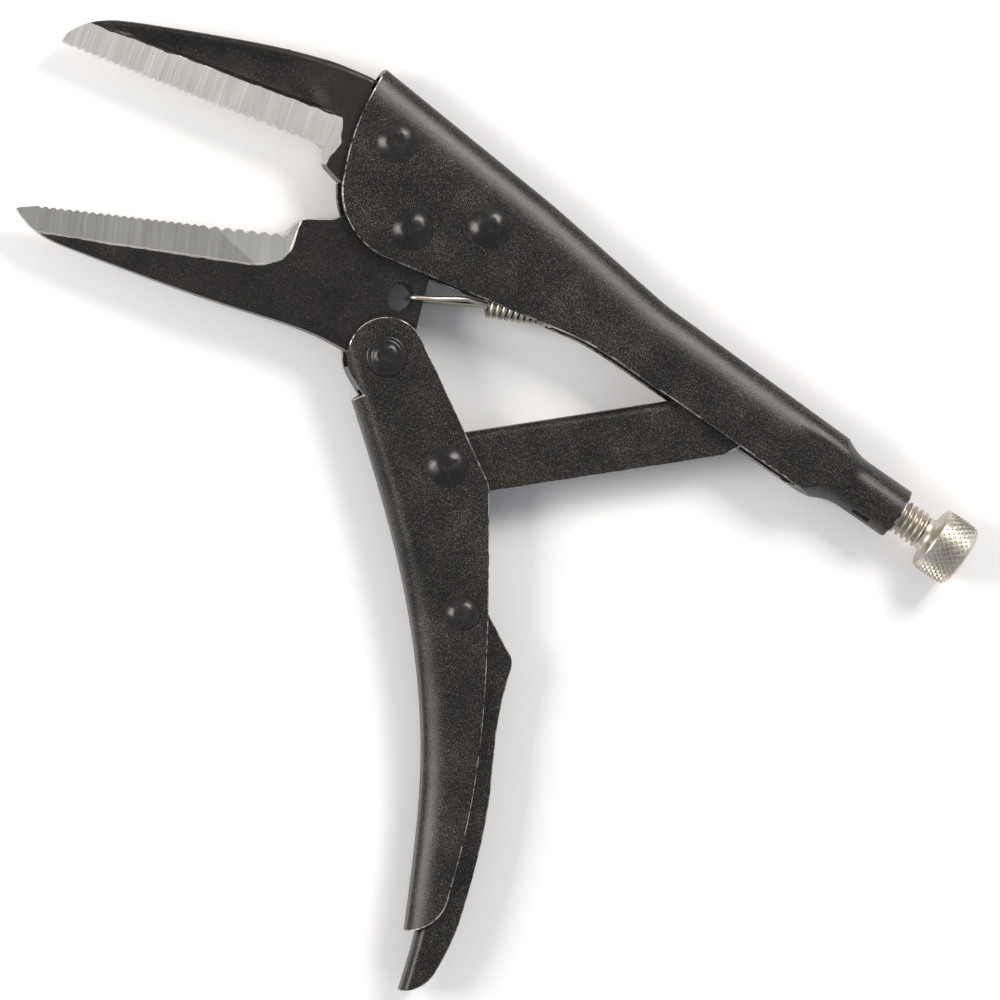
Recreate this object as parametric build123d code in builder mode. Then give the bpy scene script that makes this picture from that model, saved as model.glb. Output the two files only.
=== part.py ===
from build123d import *
from math import atan2, cos, degrees, hypot, radians, sin
import os

os.makedirs("parts", exist_ok=True)

# Locking pliers with long nose jaws, lying on their side, in millimetres and degrees.
# The origin is on the jaw pivot axis, on the surface that the rivet heads rest on.
# +X runs along the adjusting screw to its knob, +Y points away from the lower handle.

# Folded sheet steel and the gap between the side plates
SHEET = 1.85
GAP = 8.0
WIDTH = GAP + 2 * SHEET
MID = 7.6
BEND = 4.2
PLATES = Plane.XY.offset(MID)

# Pivots and rivets, each (x, y)
JAW_PIVOT = (0.0, 0.0)
FRONT_RIVET = (-13.3, 13.7)
REAR_RIVET = (13.7, 9.8)
HANDLE_PIVOT = (10.7, -25.9)
LINK_PIVOT = (35.2, -38.2)
LEVER_PIVOT = (55.6, -62.7)
HEAD_RADIUS = 4.65
SHANK_RADIUS = 3.0
LEVER_HEAD_RADIUS = 3.95
LEVER_SHANK_RADIUS = 2.6
HEAD_FLAT = 1.3
SEAT = 0.02
RUNNING = 0.05

# Jaws
JAW_THICKNESS = 7.8
TIP_THICKNESS = 4.2
HUB_RADIUS = 8.5
FINE_PITCH = 1.7
FINE_DEPTH = 0.45
COARSE_TEETH = 7
COARSE_DEPTH = 0.8
SPRING_HOLE = (6.3, -13.3)
SPRING_HOLE_RADIUS = 2.9

# Upper handle: the outside of the fold, with two gentle bends, above a tube parallel to X
FOLD = ((-26.0, 25.95), (23.0, 22.0), (55.5, 18.0), (125.5, 16.2))
FOLD_BENDS = [90, 60]
TUBE_AXIS_Y = 9.2
TUBE_RADIUS = 5.8
TUBE_START = 112.0
TUBE_END = 123.5
BORE_RADIUS = 4.05
CHANNEL_END = 101.0
TAB_X = 57.0
TAB_TIP_Y = 9.6
TAB_WIDTH = 4.0
TAB_HOLE = (57.0, 12.0)

# Toggle link and release lever, nested between the side plates
NESTED_WIDTH = 7.5
LINK_SHEET = 1.6
LEVER_SHEET = 1.4
LINK_NOSE = (86.4, 9.2)
LINK_NOSE_RADIUS = 3.4
LINK_TOP = 6.8
LINK_BOTTOM = 6.6

# Adjusting screw
SCREW_TIP = 94.0
SCREW_RADIUS = 4.0
KNOB_START = 132.4
KNOB_END = 140.8
KNOB_RADIUS = 7.5
NECK_RADIUS = 3.0

# Spring
WIRE_RADIUS = 0.55
COIL_RADIUS = 2.75
COIL_START = (22.9, -4.1)
COIL_END = (50.0, 8.7)
FRONT_HOOK = (8.25, -12.2)
HOOK_SPREAD = 4.6


def write(piece, label):
    """Label a finished piece and write its STEP file."""
    piece.part.label = label
    export_step(piece.part, f"parts/{label}.step")


def on_circle(centre, radius, angle):
    """The point of a circle at an angle."""
    return (centre[0] + radius * cos(radians(angle)), centre[1] + radius * sin(radians(angle)))


def teeth(start, end, pitch, depth, side):
    """Points of a row of teeth from start to end, cut depth deep to the left (1) or right (-1)."""
    length = hypot(end[0] - start[0], end[1] - start[1])
    count = round(length / pitch)
    along = ((end[0] - start[0]) / count, (end[1] - start[1]) / count)
    inward = (-side * (end[1] - start[1]) * depth / length, side * (end[0] - start[0]) * depth / length)
    points = []
    for i in range(count):
        crest = (start[0] + i * along[0], start[1] + i * along[1])
        valley = (crest[0] + 0.62 * along[0] + inward[0], crest[1] + 0.62 * along[1] + inward[1])
        points += [crest, (crest[0] + 0.24 * along[0], crest[1] + 0.24 * along[1]), valley]
    return points


def inset(curve, distance):
    """A curve beside another, distance to its left, and a little longer at both ends."""
    points = []
    for i in range(9):
        along = curve % (i / 8)
        beyond = {0: -3, 8: 4}.get(i, 0)
        points.append(curve @ (i / 8) + along * beyond + Vector(-along.Y, along.X) * distance)
    return Spline(*points)


def over(curve):
    """A test for the solid's edges that run straight above or below a curve."""
    middle = curve @ 0.5

    def test(edge):
        point = edge @ 0.5
        return hypot(point.X - middle.X, point.Y - middle.Y) < 0.01

    return test


def rivet(centre, head_radius, shank_radius, crown):
    """A two-headed rivet through both side plates; crown is the radius of its raised middle, or 0."""
    plane = Plane(origin=(*centre, MID), x_dir=(1, 0, 0), z_dir=(0, -1, 0))
    plate, top = WIDTH / 2, MID
    with BuildPart() as piece:
        with BuildSketch(plane):
            with BuildLine():
                if crown:
                    step = plate + 0.75
                    dome = Spline((HEAD_FLAT, top), (crown, step), tangents=((1, 0), (0.5, -1)))
                    rim = Spline(dome @ 1, (head_radius, plate), tangents=((1, 0), (0, -1)))
                    under = Spline((head_radius, -plate), (crown, -step), tangents=((0, -1), (-1, 0)))
                    base = Spline(under @ 1, (HEAD_FLAT, -top), tangents=((-0.5, -1), (-1, 0)))
                else:
                    rim = Spline((HEAD_FLAT, top), (head_radius, plate), tangents=((1, 0), (0.25, -1)))
                    base = Spline((head_radius, -plate), (HEAD_FLAT, -top), tangents=((-0.25, -1), (-1, 0)))
                shank = [(shank_radius, plate), (shank_radius, -plate)]
                Polyline((head_radius, plate), *shank, (head_radius, -plate))
                Polyline((HEAD_FLAT, -top), (0, -top), (0, top), (HEAD_FLAT, top))
            make_face()
        revolve(axis=Axis((*centre, 0), (0, 0, 1)))
    return piece


# Upper handle: a channel folded along its top edge, swaged round into a tube at the rear
fold = FilletPolyline(*[(x, y, MID) for x, y in FOLD], radius=FOLD_BENDS)
fold_plane = Plane(origin=fold @ 0, x_dir=(0, 0, 1), z_dir=fold % 0)
LEG = 40.0

with BuildPart() as channel_hollow:
    with BuildSketch(fold_plane):
        with Locations((0, SHEET)):
            Rectangle(GAP, LEG, align=(Align.CENTER, Align.MIN))
        fillet(vertices().group_by(Axis.Y)[0], radius=BEND - SHEET)
    sweep(path=fold)
    split(bisect_by=Plane.YZ.offset(CHANNEL_END), keep=Keep.BOTTOM)

with BuildPart() as swage:
    with BuildSketch(Plane.XY):
        with BuildLine():
            slopes = ((1, -0.35), (1, 0))
            neck = Spline((99.0, 10.9), (105.6, 7.6), (TUBE_START, TUBE_RADIUS), tangents=slopes)
            Polyline(neck @ 1, (TUBE_END, TUBE_RADIUS), (TUBE_END, 0), (-30, 0), (-30, 50), (99, 50), neck @ 0)
        make_face()
    revolve(axis=Axis.X)

with BuildPart() as upper_handle:
    with BuildSketch(fold_plane):
        Rectangle(WIDTH, LEG, align=(Align.CENTER, Align.MIN))
        fillet(vertices().group_by(Axis.Y)[0], radius=BEND)
    sweep(path=fold)
    with BuildSketch(PLATES):
        with BuildLine():
            ThreePointArc((-23.8, 27.0), (-22.4, 11.1), (-19.1, 1.8))
            ThreePointArc((-19.1, 1.8), (-12.9, -6.1), (-2.4, -8.6))
            under = FilletPolyline((-2.4, -8.6), (46.5, 1.6), (TUBE_END, 1.4), radius=60)
            Polyline(under @ 1, (TUBE_END, 27.0), (-23.8, 27.0))
        make_face()
    extrude(amount=WIDTH, both=True, mode=Mode.INTERSECT)
    add(swage.part.moved(Location((0, TUBE_AXIS_Y, MID))), mode=Mode.INTERSECT)
    add(channel_hollow.part, mode=Mode.SUBTRACT)
    with BuildSketch(Plane(origin=(CHANNEL_END - 6, TUBE_AXIS_Y, MID), z_dir=(1, 0, 0))):
        Circle(BORE_RADIUS)
    extrude(amount=LEG, mode=Mode.SUBTRACT)
    with BuildSketch(PLATES):
        with Locations(JAW_PIVOT, FRONT_RIVET, REAR_RIVET):
            Circle(SHANK_RADIUS + SEAT)
    extrude(amount=WIDTH, both=True, mode=Mode.SUBTRACT)
    web_y = FOLD[2][1]
    with BuildSketch(PLATES):
        with Locations((TAB_X, TAB_TIP_Y)):
            Rectangle(SHEET, web_y - SHEET / 2 - TAB_TIP_Y, align=(Align.CENTER, Align.MIN))
    extrude(amount=TAB_WIDTH / 2, both=True)
    with BuildSketch(PLATES):
        with Locations((TAB_X + SHEET / 2, web_y)):
            Rectangle(9, 4 * SHEET, align=(Align.MIN, Align.CENTER))
    extrude(amount=TAB_WIDTH / 2, both=True, mode=Mode.SUBTRACT)
    with BuildSketch(Plane(origin=(*TAB_HOLE, MID), z_dir=(1, 0, 0))):
        Circle(1.2)
    extrude(amount=SHEET, both=True, mode=Mode.SUBTRACT)
write(upper_handle, "upper_handle")

# Fixed jaw: a forged plate with a tapered nose, its tang runs back over the lower jaw's hub
NOSE_TEETH = ((-82.9, -8.6), (-45.3, -0.1), (-28.1, 4.1))
with BuildPart() as fixed_jaw:
    with BuildSketch(PLATES):
        with BuildLine():
            fine = teeth(NOSE_TEETH[0], NOSE_TEETH[1], FINE_PITCH, FINE_DEPTH, 1)
            coarse_pitch = hypot(17.2, 4.2) / COARSE_TEETH
            coarse = teeth(NOSE_TEETH[1], NOSE_TEETH[2], coarse_pitch, COARSE_DEPTH, 1)
            shoulder = [(-28.1, 4.1), (-25.2, 4.1), (-23.3, 1.2), (-22.7, 0.8), (-19.3, 0.0), (-17.0, 0.0)]
            hub = ThreePointArc(
                on_circle(JAW_PIVOT, 9.3, 122),
                on_circle(JAW_PIVOT, 9.3, 90),
                on_circle(JAW_PIVOT, 9.3, 57),
            )
            Polyline((-85.2, -8.9), *fine, *coarse, *shoulder, hub @ 0)
            tang = ThreePointArc(
                on_circle(REAR_RIVET, 5.4, -115),
                on_circle(REAR_RIVET, 5.4, -10),
                on_circle(REAR_RIVET, 5.4, 80),
            )
            Line(hub @ 1, tang @ 0)
            Polyline(tang @ 1, (8.0, 18.4), (-23.6, 21.3), (-24.1, 22.6))
            spine = [(-24.1, 22.6), (-39.5, 18.8), (-56.1, 12.0), (-72.3, 4.4), (-82.4, -2.2), (-85.3, -7.0)]
            back = Spline(*spine)
            Line(back @ 1, (-85.2, -8.9))
        make_face()
        with Locations(FRONT_RIVET, REAR_RIVET):
            Circle(SHANK_RADIUS + SEAT, mode=Mode.SUBTRACT)
    extrude(amount=GAP / 2, both=True)
    with BuildSketch(Plane.XZ):
        with BuildLine():
            Polyline(
                (-90, MID - TIP_THICKNESS / 2),
                (-84, MID - TIP_THICKNESS / 2),
                (-30, MID - GAP / 2),
                (30, MID - GAP / 2),
                (30, MID + GAP / 2),
                (-30, MID + GAP / 2),
                (-84, MID + TIP_THICKNESS / 2),
                (-90, MID + TIP_THICKNESS / 2),
                close=True,
            )
        make_face()
    extrude(amount=60, both=True, mode=Mode.INTERSECT)
write(fixed_jaw, "fixed_jaw")

# Lower jaw: turns on the jaw pivot, carries the handle's pivot and the spring's hook
JAW_TEETH = ((-69.8, -41.4), (-38.0, -24.8), (-21.6, -16.1))
HEEL_RADIUS = 7.4
with BuildPart() as lower_jaw:
    with BuildSketch(PLATES):
        with BuildLine():
            fine = teeth(JAW_TEETH[0], JAW_TEETH[1], FINE_PITCH, FINE_DEPTH, -1)
            coarse_pitch = hypot(16.5, 8.7) / COARSE_TEETH
            coarse = teeth(JAW_TEETH[1], JAW_TEETH[2], coarse_pitch, COARSE_DEPTH, -1)
            shoulder = [(-21.6, -16.1), (-21.7, -14.5), (-21.2, -12.6), (-20.0, -11.0), (-18.2, -9.9)]
            hub = ThreePointArc(
                on_circle(JAW_PIVOT, HUB_RADIUS, 147.7),
                on_circle(JAW_PIVOT, HUB_RADIUS, 60),
                on_circle(JAW_PIVOT, HUB_RADIUS, -22),
            )
            Polyline((-72.9, -43.9), *fine, *coarse, *shoulder, (-15.0, -7.8), hub @ 0)
            heel = ThreePointArc(
                on_circle(HANDLE_PIVOT, HEEL_RADIUS, 66),
                on_circle(HANDLE_PIVOT, HEEL_RADIUS, -35),
                on_circle(HANDLE_PIVOT, HEEL_RADIUS, -150),
            )
            Line(hub @ 1, heel @ 0)
            belly = Spline(heel @ 1, (-6.3, -30.9), (-20.9, -35.1), (-46.1, -41.9), (-60.3, -45.3))
            Spline(belly @ 1, (-67.4, -45.9), (-73.1, -44.3), tangents=((-1, -0.22), (-1, 0.5)))
            Line((-73.1, -44.3), (-72.9, -43.9))
        make_face()
        with Locations(JAW_PIVOT, HANDLE_PIVOT):
            Circle(SHANK_RADIUS + RUNNING, mode=Mode.SUBTRACT)
        with Locations(SPRING_HOLE):
            Circle(SPRING_HOLE_RADIUS, mode=Mode.SUBTRACT)
    extrude(amount=JAW_THICKNESS / 2, both=True)
    with BuildSketch(Plane.XZ):
        with BuildLine():
            Polyline(
                (-80, MID - TIP_THICKNESS / 2),
                (-73, MID - TIP_THICKNESS / 2),
                (-25, MID - JAW_THICKNESS / 2),
                (30, MID - JAW_THICKNESS / 2),
                (30, MID + JAW_THICKNESS / 2),
                (-25, MID + JAW_THICKNESS / 2),
                (-73, MID + TIP_THICKNESS / 2),
                (-80, MID + TIP_THICKNESS / 2),
                close=True,
            )
        make_face()
    extrude(amount=60, both=True, mode=Mode.INTERSECT)
write(lower_jaw, "lower_jaw")

# Lower handle: a channel folded along its outer edge, with two ears round the lower jaw
web_ends = ((0.79, -0.62), (0.45, -0.89))
HANDLE_WEB = Spline((10.3, -37.4), (41.3, -63.5), (66.6, -93.5), (84.3, -126.2), tangents=web_ends)
with BuildPart() as handle_hollow:
    with BuildSketch(PLATES):
        with BuildLine():
            inner = inset(HANDLE_WEB, SHEET)
            Polyline(inner @ 1, (120, -140), (120, 20), (0, 20), (0, -30), inner @ 0)
        make_face()
    extrude(amount=GAP / 2, both=True)
    fillet(edges().filter_by(over(inner)), radius=BEND - SHEET)

with BuildPart() as lower_handle:
    with BuildSketch(PLATES):
        with BuildLine():
            add(HANDLE_WEB)
            end = ThreePointArc(HANDLE_WEB @ 1, (87.3, -122.6), (87.2, -114.4))
            edge_ends = ((-0.3, 1), (-0.56, 0.83))
            edge = Spline(end @ 1, (76.6, -87.5), (60.9, -60.4), (46.8, -39.2), tangents=edge_ends)
            ear = ThreePointArc(
                on_circle(HANDLE_PIVOT, HUB_RADIUS, 62),
                on_circle(HANDLE_PIVOT, HUB_RADIUS, 160),
                on_circle(HANDLE_PIVOT, HUB_RADIUS, 250),
            )
            corner = Spline(edge @ 1, (43.6, -35.6), tangents=((-0.56, 0.83), (-0.88, 0.47)))
            Line(corner @ 1, ear @ 0)
            Polyline(ear @ 1, (11.3, -35.5), HANDLE_WEB @ 0)
        make_face()
    extrude(amount=WIDTH / 2, both=True)
    fillet(edges().filter_by(over(HANDLE_WEB)), radius=BEND)
    add(handle_hollow.part, mode=Mode.SUBTRACT)
    with BuildSketch(PLATES):
        with Locations(HANDLE_PIVOT, LINK_PIVOT):
            Circle(SHANK_RADIUS + SEAT)
        with Locations(LEVER_PIVOT):
            Circle(LEVER_SHANK_RADIUS + SEAT)
    extrude(amount=WIDTH, both=True, mode=Mode.SUBTRACT)
write(lower_handle, "lower_handle")

# Toggle link: a folded bar, open below, from its rivet in the lower handle to the screw's front end
link_angle = degrees(atan2(LINK_NOSE[1] - LINK_PIVOT[1], LINK_NOSE[0] - LINK_PIVOT[0]))
link_length = hypot(LINK_NOSE[0] - LINK_PIVOT[0], LINK_NOSE[1] - LINK_PIVOT[1])
link_plane = Plane(
    origin=(*LINK_PIVOT, MID),
    x_dir=(cos(radians(link_angle)), sin(radians(link_angle)), 0),
    z_dir=(0, 0, 1),
)
with BuildPart() as toggle_link:
    with BuildSketch(link_plane):
        with BuildLine():
            heel = ThreePointArc((-2, LINK_TOP), (-6.5, 0.1), (-2, -LINK_BOTTOM))
            nose = ThreePointArc(
                (link_length, -LINK_NOSE_RADIUS),
                (link_length + LINK_NOSE_RADIUS, 0),
                (link_length, LINK_NOSE_RADIUS),
            )
            Polyline(heel @ 1, (link_length - 9, -LINK_BOTTOM), nose @ 0)
            Polyline(nose @ 1, (link_length - 6, LINK_TOP), heel @ 0)
        make_face()
    extrude(amount=NESTED_WIDTH / 2, both=True)
    top_edges = edges().filter_by(lambda e: (link_plane.to_local_coords(e @ 0.5)).Y > LINK_TOP - 0.01)
    fillet(top_edges.filter_by(lambda e: e.length > link_length / 2), radius=1.9)
    with BuildSketch(link_plane):
        with Locations((link_length / 2 - 6, LINK_TOP - LINK_SHEET)):
            Rectangle(link_length + 6, 20, align=(Align.CENTER, Align.MAX))
    extrude(amount=NESTED_WIDTH / 2 - LINK_SHEET, both=True, mode=Mode.SUBTRACT)
    with BuildSketch(PLATES):
        with Locations(LINK_PIVOT):
            Circle(SHANK_RADIUS + RUNNING)
    extrude(amount=WIDTH, both=True, mode=Mode.SUBTRACT)
write(toggle_link, "toggle_link")

# Release lever: a lighter channel inside the lower handle, its tail past the handle's end
lever_ends = ((0.6, -0.8), (0.28, -0.96))
LEVER_WEB = Spline((52.2, -69.2), (71.0, -94.2), (86.8, -126.2), (90.4, -137.6), tangents=lever_ends)
with BuildPart() as lever_hollow:
    with BuildSketch(PLATES):
        with BuildLine():
            inner = inset(LEVER_WEB, LEVER_SHEET)
            Polyline(inner @ 1, (130, -150), (130, -40), (40, -40), (40, -64), inner @ 0)
        make_face()
    extrude(amount=NESTED_WIDTH / 2 - LEVER_SHEET, both=True)

with BuildPart() as release_lever:
    with BuildSketch(PLATES):
        with BuildLine():
            add(LEVER_WEB)
            tip = ThreePointArc(LEVER_WEB @ 1, (93.4, -134.8), (94.4, -129.6))
            edge_ends = ((0, 1), (-0.42, 0.9))
            edge = Spline(tip @ 1, (91.4, -113.7), (83.5, -93.0), (75.4, -77.5), tangents=edge_ends)
            bump = Spline(edge @ 1, (72.0, -68.4), (69.4, -64.1), tangents=((-0.42, 0.9), (-0.9, 0.42)))
            shoulder = on_circle(LEVER_PIVOT, 5.2, 66)
            hub = ThreePointArc(shoulder, on_circle(LEVER_PIVOT, 5.2, 130), on_circle(LEVER_PIVOT, 5.2, 200))
            Line(bump @ 1, shoulder)
            Line(hub @ 1, LEVER_WEB @ 0)
        make_face()
    extrude(amount=NESTED_WIDTH / 2, both=True)
    fillet(edges().filter_by(over(LEVER_WEB)), radius=2.1)
    add(lever_hollow.part, mode=Mode.SUBTRACT)
    with BuildSketch(PLATES):
        with Locations(LEVER_PIVOT):
            Circle(LEVER_SHANK_RADIUS + RUNNING)
    extrude(amount=WIDTH, both=True, mode=Mode.SUBTRACT)
write(release_lever, "release_lever")

# Rivets: domed heads on both sides, their small flats at the height of the resting surface
write(rivet(JAW_PIVOT, HEAD_RADIUS, SHANK_RADIUS, 0), "jaw_pivot_rivet")
write(rivet(FRONT_RIVET, HEAD_RADIUS, SHANK_RADIUS, 0), "fixed_jaw_front_rivet")
write(rivet(REAR_RIVET, HEAD_RADIUS, SHANK_RADIUS, 0), "fixed_jaw_rear_rivet")
write(rivet(HANDLE_PIVOT, HEAD_RADIUS, SHANK_RADIUS, 3.0), "handle_pivot_rivet")
write(rivet(LINK_PIVOT, HEAD_RADIUS, SHANK_RADIUS, 0), "link_pivot_rivet")
write(rivet(LEVER_PIVOT, LEVER_HEAD_RADIUS, LEVER_SHANK_RADIUS, 0), "release_lever_rivet")

# Adjusting screw: the rod, with a thin end that the knob turns on, headed over in the knob's recess
with BuildPart() as adjusting_screw:
    with BuildSketch(Plane.XY):
        with BuildLine():
            Polyline(
                (SCREW_TIP, 0),
                (SCREW_TIP, SCREW_RADIUS - 1.2),
                (SCREW_TIP + 1.2, SCREW_RADIUS),
                (KNOB_START - 1.8, SCREW_RADIUS),
                (KNOB_START - 1.2, NECK_RADIUS + 0.3),
                (KNOB_START - 0.1, NECK_RADIUS + 0.3),
                (KNOB_START - 0.1, NECK_RADIUS),
                (KNOB_END - 1.4, NECK_RADIUS),
                (KNOB_END - 1.4, NECK_RADIUS + 0.8),
                (KNOB_END - 0.6, NECK_RADIUS + 0.3),
                (KNOB_END - 0.6, 0),
                close=True,
            )
        make_face()
    revolve(axis=Axis.X)
adjusting_screw.part.move(Location((0, TUBE_AXIS_Y, MID)))
write(adjusting_screw, "adjusting_screw")

with BuildPart() as adjusting_knob:
    with BuildSketch(Plane.XY):
        with BuildLine():
            Polyline(
                (KNOB_START, NECK_RADIUS + RUNNING),
                (KNOB_START, KNOB_RADIUS - 0.6),
                (KNOB_START + 0.6, KNOB_RADIUS),
                (KNOB_END - 1.4, KNOB_RADIUS),
                (KNOB_END, KNOB_RADIUS - 0.9),
                (KNOB_END, NECK_RADIUS + 1.2),
                (KNOB_END - 1.5, NECK_RADIUS + 1.2),
                (KNOB_END - 1.5, NECK_RADIUS + RUNNING),
                close=True,
            )
        make_face()
    revolve(axis=Axis.X)
adjusting_knob.part.move(Location((0, TUBE_AXIS_Y, MID)))
write(adjusting_knob, "adjusting_knob")

# Jaw spring: the coil as a plain sleeve, one long front loop through the jaw's hole, a short rear hook
coil_way = (COIL_END[0] - COIL_START[0], COIL_END[1] - COIL_START[1], 0)
with BuildPart() as jaw_spring:
    with BuildSketch(Plane(origin=(*COIL_START, MID), z_dir=coil_way)):
        Circle(COIL_RADIUS)
        Circle(COIL_RADIUS - 2 * WIRE_RADIUS, mode=Mode.SUBTRACT)
    extrude(amount=hypot(coil_way[0], coil_way[1]))
    for side in (1, -1):
        with BuildLine():
            strand = FilletPolyline(
                (*FRONT_HOOK, MID),
                (*FRONT_HOOK, MID + side * HOOK_SPREAD),
                (12.5, -10.1, MID + side * HOOK_SPREAD),
                (COIL_START[0] + 0.5, COIL_START[1] + 0.2, MID + side * (COIL_RADIUS - WIRE_RADIUS)),
                radius=0.9,
            )
        with BuildSketch(Plane(origin=strand @ 0, z_dir=strand % 0)):
            Circle(WIRE_RADIUS)
        sweep(path=strand)
    with BuildLine():
        tail = Line((COIL_END[0] - 1, COIL_END[1] - 0.5 + COIL_RADIUS - WIRE_RADIUS, MID), (*TAB_HOLE, MID))
    with BuildSketch(Plane(origin=tail @ 0, z_dir=tail % 0)):
        Circle(WIRE_RADIUS)
    sweep(path=tail)
write(jaw_spring, "jaw_spring")
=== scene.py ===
"""Long-nose locking pliers lying open on a pale table."""

from math import atan2, cos, hypot, pi, radians, sin

import bpy
from mathutils import Matrix, Vector, noise


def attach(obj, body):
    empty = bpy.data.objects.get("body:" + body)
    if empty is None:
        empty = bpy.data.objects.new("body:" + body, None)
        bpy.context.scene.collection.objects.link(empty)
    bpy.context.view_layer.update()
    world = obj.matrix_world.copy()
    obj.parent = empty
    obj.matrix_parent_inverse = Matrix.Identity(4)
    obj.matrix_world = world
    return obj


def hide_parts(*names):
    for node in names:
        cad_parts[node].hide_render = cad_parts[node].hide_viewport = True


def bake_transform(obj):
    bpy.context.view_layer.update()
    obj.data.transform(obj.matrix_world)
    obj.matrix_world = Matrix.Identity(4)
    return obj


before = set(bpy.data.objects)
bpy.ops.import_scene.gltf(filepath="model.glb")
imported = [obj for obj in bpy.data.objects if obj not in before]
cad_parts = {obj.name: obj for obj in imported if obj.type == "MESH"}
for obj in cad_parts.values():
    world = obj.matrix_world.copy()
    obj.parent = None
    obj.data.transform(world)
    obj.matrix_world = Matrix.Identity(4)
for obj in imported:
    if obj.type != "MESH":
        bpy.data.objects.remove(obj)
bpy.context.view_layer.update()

# ------------------------------------------------------------------ camera, table and lights
# The tool is seen from nearly straight above, a little from its lower handle's side.
# Two softboxes stand beside it, one at the left and a stronger one at the upper right.
AIM = Vector((0.04857, -0.03778, 0.0136))
AWAY = Vector((-0.1208, -0.0788, 1.0)).normalized()
CAMERA_DISTANCE = 2.1
VIEW_WIDTH = 0.21628
VIEW_TURN = radians(34.079)

picture_right = Vector((cos(VIEW_TURN), sin(VIEW_TURN), 0))
picture_up = Vector((-sin(VIEW_TURN), cos(VIEW_TURN), 0))
across = (picture_right - picture_right.dot(AWAY) * AWAY).normalized()
bpy.ops.object.camera_add()
camera = bpy.context.object
camera.matrix_world = Matrix.Translation(AIM + CAMERA_DISTANCE * AWAY) @ (
    Matrix((across, AWAY.cross(across), AWAY)).transposed().to_4x4()
)
camera.data.sensor_width = 36
camera.data.lens = 36 * CAMERA_DISTANCE / VIEW_WIDTH
bpy.context.scene.camera = camera
bpy.context.scene.view_settings.view_transform = "Standard"


def softbox(name, right, up, height, size, watts):
    """A square area light, placed in the picture's directions and turned to the tool."""
    place = AIM + right * picture_right + up * picture_up + Vector((0, 0, height))
    bpy.ops.object.light_add(type="AREA", location=place)
    lamp = bpy.context.object
    lamp.name = name
    lamp.data.size = size
    lamp.data.energy = watts
    lamp.data.color = (1, 0.95, 0.9)
    lamp.rotation_mode = "QUATERNION"
    lamp.rotation_quaternion = (place - AIM).to_track_quat("Z", "Y")


softbox("softbox_left", -0.75, 0.10, 0.58, 0.42, 6.5)
softbox("softbox_right", 0.50, 0.62, 0.72, 0.42, 8.5)

world = bpy.data.worlds.new("pale_room")
world.use_nodes = True
world.node_tree.nodes["Background"].inputs["Color"].default_value = (0.92, 0.95, 1.0, 1)
world.node_tree.nodes["Background"].inputs["Strength"].default_value = 0.5
bpy.context.scene.world = world

bpy.ops.mesh.primitive_plane_add(size=6, location=(0, 0, -0.00003))
table = bpy.context.object
table.name = "table_top"
paper = bpy.data.materials.new("table_white")
paper.use_nodes = True
paper_shader = paper.node_tree.nodes["Principled BSDF"]
paper_grain = paper.node_tree.nodes.new("ShaderNodeTexNoise")
paper_grain.inputs["Scale"].default_value = 400
paper_tone = paper.node_tree.nodes.new("ShaderNodeMapRange")
paper_tone.inputs["To Min"].default_value = 0.9
paper_tone.inputs["To Max"].default_value = 0.93
paper.node_tree.links.new(paper_grain.outputs["Fac"], paper_tone.inputs["Value"])
paper.node_tree.links.new(paper_tone.outputs["Result"], paper_shader.inputs["Base Color"])
paper_shader.inputs["Roughness"].default_value = 0.9
paper_shader.inputs["Specular IOR Level"].default_value = 0.1
table.data.materials.append(paper)

# ------------------------------------------------------------------ handles, link and release lever
# Four folded steel sheets. The upper handle is swaged round into a tube at its rear, with a
# crimp slot in it; the link and the lever nest in the handles. Their black finish is rough and
# speckled, and worn through to the steel along the cut edges.
MM = 0.001
MIDDLE = 7.6 * MM


def group_of(name, inputs, outputs):
    """An empty shader node group with float or colour sockets, and its two end nodes."""
    group = bpy.data.node_groups.new(name, "ShaderNodeTree")
    for label, value in inputs.items():
        kind = "NodeSocketColor" if isinstance(value, tuple) else "NodeSocketFloat"
        socket = group.interface.new_socket(name=label, in_out="INPUT", socket_type=kind)
        socket.default_value = value
    for label, kind in outputs.items():
        group.interface.new_socket(name=label, in_out="OUTPUT", socket_type=kind)
    return group, group.nodes.new("NodeGroupInput"), group.nodes.new("NodeGroupOutput")


def node(tree, kind, inputs=None, **settings):
    """A node with its settings, and its inputs set to values or linked to other sockets."""
    made = tree.nodes.new(kind)
    for key, value in settings.items():
        setattr(made, key, value)
    for key, value in (inputs or {}).items():
        if isinstance(value, bpy.types.NodeSocket):
            tree.links.new(value, made.inputs[key])
        else:
            made.inputs[key].default_value = value
    return made


def blend_of(tree, share, first, second):
    """Two colours mixed by a share."""
    mix = node(tree, "ShaderNodeMix", data_type="RGBA")
    for socket, value in ((mix.inputs[0], share), (mix.inputs[6], first), (mix.inputs[7], second)):
        if isinstance(value, bpy.types.NodeSocket):
            tree.links.new(value, socket)
        else:
            socket.default_value = value
    return mix.outputs[2]


def span(tree, value, low, high, start=0.0, end=1.0, smooth=False):
    """A value's range from low to high, stretched to start to end and held there."""
    how = "SMOOTHSTEP" if smooth else "LINEAR"
    sockets = {"Value": value, "From Min": low, "From Max": high, "To Min": start, "To Max": end}
    return node(tree, "ShaderNodeMapRange", sockets, interpolation_type=how).outputs["Result"]


def sums(tree, operation, first, second):
    """One step of arithmetic on sockets or numbers."""
    return node(tree, "ShaderNodeMath", {0: first, 1: second}, operation=operation).outputs[0]


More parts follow.
